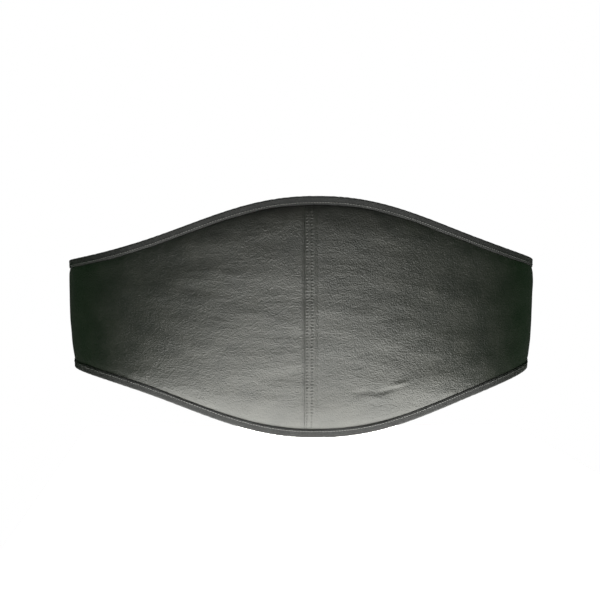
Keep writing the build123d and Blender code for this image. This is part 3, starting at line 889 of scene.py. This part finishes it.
def box_stitches(name, x_range, z_half, faces):
    """A sewn box with a cross on each flat face, given as (y, which way it looks)."""
    low, high = x_range
    corners = [(low, -z_half), (high, -z_half), (high, z_half), (low, z_half), (low, -z_half)]
    runs = [corners, [(low, -z_half), (high, z_half)], [(low, z_half), (high, -z_half)]]
    places, ways, outs = [], [], []
    for face, out in faces:
        for run in runs:
            spots, directions = along_line([(x, face, z) for x, z in run], BOX_PITCH)
            places.append(spots * MM)
            ways.append(directions)
            outs.append(np.tile((0.0, out, 0.0), (len(spots), 1)))
    return stitches_object(name, np.concatenate(places), np.concatenate(ways),
                           np.concatenate(outs), 2.4, 0.9, 0.7)


def make_end_cap(name, side):
    points, headings = plan_path((END_X + CAP_LENGTH, CLOSURE_Y + CAP_OFFSET), 180.0,
                                 [(CAP_LENGTH,), (CAP_OFFSET, 180.0), (CAP_LENGTH,)], 1.5)
    if side < 0:
        points, headings = points * (-1, 1), math.pi - headings
    cap = strip_object(name + "_leather", (points, headings), CAP, CAP_HALF,
                       lambda u, v: 0.10 * waves(61, u, v, 22.0, 30.0))
    dress(cap, TRIM_LEATHER, "root", "cover_leather", name)


def make_ring_chape():
    run = CHAPE_LEAF + RING_REACH
    path = plan_path((END_X + CHAPE_LEAF, CLOSURE_Y + CHAPE_OFFSET), 180.0,
                     [(run,), (CHAPE_OFFSET, 180.0), (run,)], 1.2)
    chape = strip_object("ring_chape_webbing", path, CHAPE, WEBBING_HALF, weave_relief(0.08, 2.6))
    dress(chape, WEB_LOOK, "root", "webbing", "ring_chape")
    face = CHAPE_OFFSET + CHAPE / 2 + SEWN_LIFT
    sewn = box_stitches("ring_chape_stitches", (END_X + BOX_INSET, END_X + CHAPE_LEAF - BOX_TIP),
                        WEBBING_HALF - BOX_INSET, ((CLOSURE_Y + face, 1), (CLOSURE_Y - face, -1)))
    dress(sewn, TAPE_THREAD, "root", "thread", "ring_chape_threads")


def swinging(thing):
    """Bakes a strap piece's placement into its mesh."""
    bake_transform(thing)


def make_strap():
    run_start = -END_X - ANCHOR_LENGTH
    length = FREE_BAR - GAP - run_start
    path = plan_path((run_start, RUN_Y), 0.0, [(length,)], 1.3)
    run = strip_object("strap_run_webbing", path, STRAP, WEBBING_HALF, weave_relief(0.08, 2.6))
    dress(run, WEB_LOOK, None, "webbing", "strap_run")
    swinging(run)

    path = plan_path((FREE_BAR, RUN_Y), 0.0, [(STRAP_OFFSET, 180.0)], 0.9)
    fold = strip_object("strap_fold_webbing", path, STRAP, WEBBING_HALF, weave_relief(0.06, 2.6))
    dress(fold, WEB_LOOK, "ring", "webbing", "strap_fold")

    ease = TAIL_BEND * (1 - math.cos(math.radians(TAIL_ANGLE)))
    drop = CLOSURE_Y + STRAP_OFFSET - TAIL_Y
    slope = (drop - 2 * ease) / math.sin(math.radians(TAIL_ANGLE))
    moves = [(TAIL_BEND, TAIL_ANGLE), (slope,), (TAIL_BEND, -TAIL_ANGLE), (TAIL_RUN,)]
    path = plan_path((FREE_BAR - GAP, CLOSURE_Y + STRAP_OFFSET), 180.0, moves, 1.3)
    tail = strip_object("strap_tail_webbing", path, STRAP, WEBBING_HALF, weave_relief(0.08, 2.6))
    dress(tail, WEB_LOOK, "tail", "webbing", "strap_tail")


def pile_relief(seed, depth):
    return lambda u, v: depth * waves(seed, u, v, 5.0, 4.0) + 0.08 * waves(seed + 1, u, v, 30.0, 20.0)


def pile_strip(name, end, length, middle, thickness, relief):
    path = plan_path((end, middle), 0.0, [(length,)], 1.0)
    return strip_object(name, path, thickness, PILE_HALF, relief)


def make_hook_and_loop():
    middle = RUN_Y + STRAP / 2 + PILE_LIFT + LOOP_PILE / 2
    start = TAIL_END + TAIL_RUN - LOOP_LENGTH
    loop = pile_strip("loop_pile", start, LOOP_LENGTH, middle, LOOP_PILE - PILE_TRIM, pile_relief(71, 0.05))
    dress(loop, LOOP_LOOK, None, "hook_and_loop", "loop_strip")
    swinging(loop)

    middle = TAIL_Y - STRAP / 2 - PILE_LIFT - HOOK_PILE / 2
    start = TAIL_END + HOOK_INSET
    hook = pile_strip("hook_pile", start, HOOK_LENGTH, middle, HOOK_PILE - PILE_TRIM, pile_relief(73, 0.04))
    dress(hook, HOOK_LOOK, "tail", "hook_and_loop", "hook_strip")


def make_pull_tab():
    middle = TAIL_Y + STRAP / 2 + SEWN_GAP + TAB / 2
    sewn_end = TAIL_END + TAB_LENGTH * (1 - TAB_OVERHANG)
    path = plan_path((sewn_end, middle), 180.0, [(TAB_LENGTH,)], 0.8)
    tab = strip_object("pull_tab_leather", path, TAB, TAB_HALF,
                       lambda u, v: 0.08 * waves(81, u, v, 16.0, 20.0), TAB_TAPER)
    dress(tab, TRIM_LEATHER, "tail", "cover_leather", "pull_tab")
    x_range = (TAIL_END + TAB_STITCH_INSET, sewn_end - TAB_STITCH_INSET)
    sewn = box_stitches("pull_tab_stitches", x_range, TAB_HALF - TAB_STITCH_SIDE,
                        ((middle + TAB / 2 + SEWN_LIFT, 1),))
    dress(sewn, TAPE_THREAD, "tail", "thread", "pull_tab_threads")


def make_anchor():
    face = CLOSURE_Y + CAP_OFFSET + CAP / 2 + SEWN_GAP
    start = -END_X - ANCHOR_LENGTH
    path = plan_path((start, face + PATCH / 2), 0.0, [(ANCHOR_LENGTH,)], 0.9)
    patch = strip_object("anchor_patch_leather", path, PATCH, WEBBING_HALF + PATCH_OVERLAP,
                         lambda u, v: 0.08 * waves(91, u, v, 18.0, 24.0))
    dress(patch, TRIM_LEATHER, "root", "cover_leather", "anchor_patch")
    faces = ((face + PATCH + SEWN_LIFT, 1), (RUN_Y - STRAP / 2 - SEWN_LIFT, -1))
    sewn = box_stitches("anchor_stitches", (start + BOX_TIP, -END_X - BOX_INSET),
                        WEBBING_HALF - BOX_INSET, faces)
    dress(sewn, TAPE_THREAD, "root", "thread", "anchor_threads")


def make_seam_tape():
    z = np.linspace(-115.0, 115.0, 120)
    path_depth = front_depth(0 * z, z) + LEATHER + 0.7
    across = np.array([-6.8, -6.0, 6.0, 6.8])
    off = np.array([0.0, -0.36, -0.36, 0.0])
    ring_s = np.concatenate([across, across[::-1]])
    ring_d = np.concatenate([off, -off[::-1] + 0.02])
    rings = place(ring_s[None] + 0 * z[:, None], path_depth[:, None] + ring_d[None],
                  np.repeat(z[:, None], 8, 1))
    uvs = np.stack(np.broadcast_arrays(z[:, None], ring_s[None]), -1) * MM
    tape = outward_facing(tube_object("seam_tape_cloth", rings, uvs))
    dress(tape, LINING_LOOK, "root", "seam_tape", "seam_tape")


make_covers()
make_lining()
make_foams()
for side, end in ((1, "top"), (-1, "bottom")):
    make_binding(f"{end}_binding", side)
    make_binding_stitches(f"{end}_binding", side)
make_seam_stitches()
make_seam_tape()
make_end_cap("left_end_cap", -1)
make_end_cap("right_end_cap", 1)
make_ring_chape()
make_strap()
make_hook_and_loop()
make_pull_tab()
make_anchor()

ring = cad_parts["ring"]
ring.data.materials.clear()
ring.data.materials.append(steel_material("ring_steel_look"))

# ---- the studio ----

EYE_DISTANCE = 2.0
EYE_TURN = math.radians(-3.0)
EYE_RISE = math.radians(2.0)
AIM = Vector((-0.0035, 0.0, 0.0))
FOCAL_SHARE = 1748.0 / 600.0  # the focal length over the picture's width
SENSOR = 36.0


def make_camera():
    lens = bpy.data.cameras.new("camera")
    lens.sensor_width = SENSOR
    lens.lens = SENSOR * FOCAL_SHARE
    lens.shift_y = 0.0225
    camera = bpy.data.objects.new("camera", lens)
    bpy.context.scene.collection.objects.link(camera)
    level = EYE_DISTANCE * math.cos(EYE_RISE)
    camera.location = AIM + Vector((level * math.sin(EYE_TURN), -level * math.cos(EYE_TURN),
                                    EYE_DISTANCE * math.sin(EYE_RISE)))
    camera.rotation_euler = (AIM - camera.location).to_track_quat("-Z", "Y").to_euler()
    bpy.context.scene.camera = camera


def area_light(name, spot, target, size, watts, tint=(1.0, 1.0, 1.0)):
    light = bpy.data.lights.new(name, "AREA")
    light.shape = "RECTANGLE"
    light.size, light.size_y = size
    light.energy = watts
    light.color = tint
    lamp = bpy.data.objects.new(name, light)
    bpy.context.scene.collection.objects.link(lamp)
    lamp.location = spot
    lamp.rotation_euler = (Vector(target) - Vector(spot)).to_track_quat("-Z", "Y").to_euler()
    lamp.visible_camera = False


def stage_plane(name, corners, material):
    plane = mesh_object(name, corners, [[0, 1, 2, 3]])
    plane.data.materials.append(material)
    return plane


def make_world():
    """White behind the object, and a dim surround, greenish at the sides, for everything else."""
    world = bpy.data.worlds.new("surround")
    world.use_nodes = True
    tree = world.node_tree
    out = tree.nodes["World Output"]
    seen, felt = tree.nodes["Background"], tree.nodes.new("ShaderNodeBackground")
    seen.inputs["Color"].default_value = (1, 1, 1, 1)
    split, aside = tree.nodes.new("ShaderNodeSeparateXYZ"), tree.nodes.new("ShaderNodeMath")
    ramp = tree.nodes.new("ShaderNodeValToRGB")
    aside.operation = "ABSOLUTE"
    tree.links.new(tree.nodes.new("ShaderNodeTexCoord").outputs["Generated"], split.inputs[0])
    tree.links.new(split.outputs["X"], aside.inputs[0])
    tree.links.new(aside.outputs[0], ramp.inputs["Fac"])
    tree.links.new(ramp.outputs["Color"], felt.inputs["Color"])
    ramp.color_ramp.elements[0].position, ramp.color_ramp.elements[1].position = 0.45, 0.85
    ramp.color_ramp.elements[0].color = (0.085, 0.085, 0.08, 1)
    ramp.color_ramp.elements[1].color = (0.011, 0.085, 0.014, 1)
    path, mix = tree.nodes.new("ShaderNodeLightPath"), tree.nodes.new("ShaderNodeMixShader")
    tree.links.new(path.outputs["Is Camera Ray"], mix.inputs["Fac"])
    tree.links.new(felt.outputs[0], mix.inputs[1])
    tree.links.new(seen.outputs[0], mix.inputs[2])
    tree.links.new(mix.outputs[0], out.inputs["Surface"])
    bpy.context.scene.world = world


make_world()
FLOOR_Z = -0.1345
FLOOR_X, FLOOR_FRONT, FLOOR_BACK = 0.25, -1.6, 0.05
stage_plane("floor", [(-FLOOR_X, FLOOR_FRONT, FLOOR_Z), (FLOOR_X, FLOOR_FRONT, FLOOR_Z),
                      (FLOOR_X, FLOOR_BACK, FLOOR_Z), (-FLOOR_X, FLOOR_BACK, FLOOR_Z)],
            plain_material("pale_floor", (0.92, 0.92, 0.92), 0.7, glow=6.0))
area_light("overhead", (0.0, 0.9, 1.3), (0, 0.1, 0.0), (1.4, 0.8), 16.0)
area_light("behind", (0.0, 1.7, 0.5), (0, 0.1, 0.0), (1.2, 0.9), 34.0)
make_camera()
bpy.context.scene.view_settings.view_transform = "Standard"
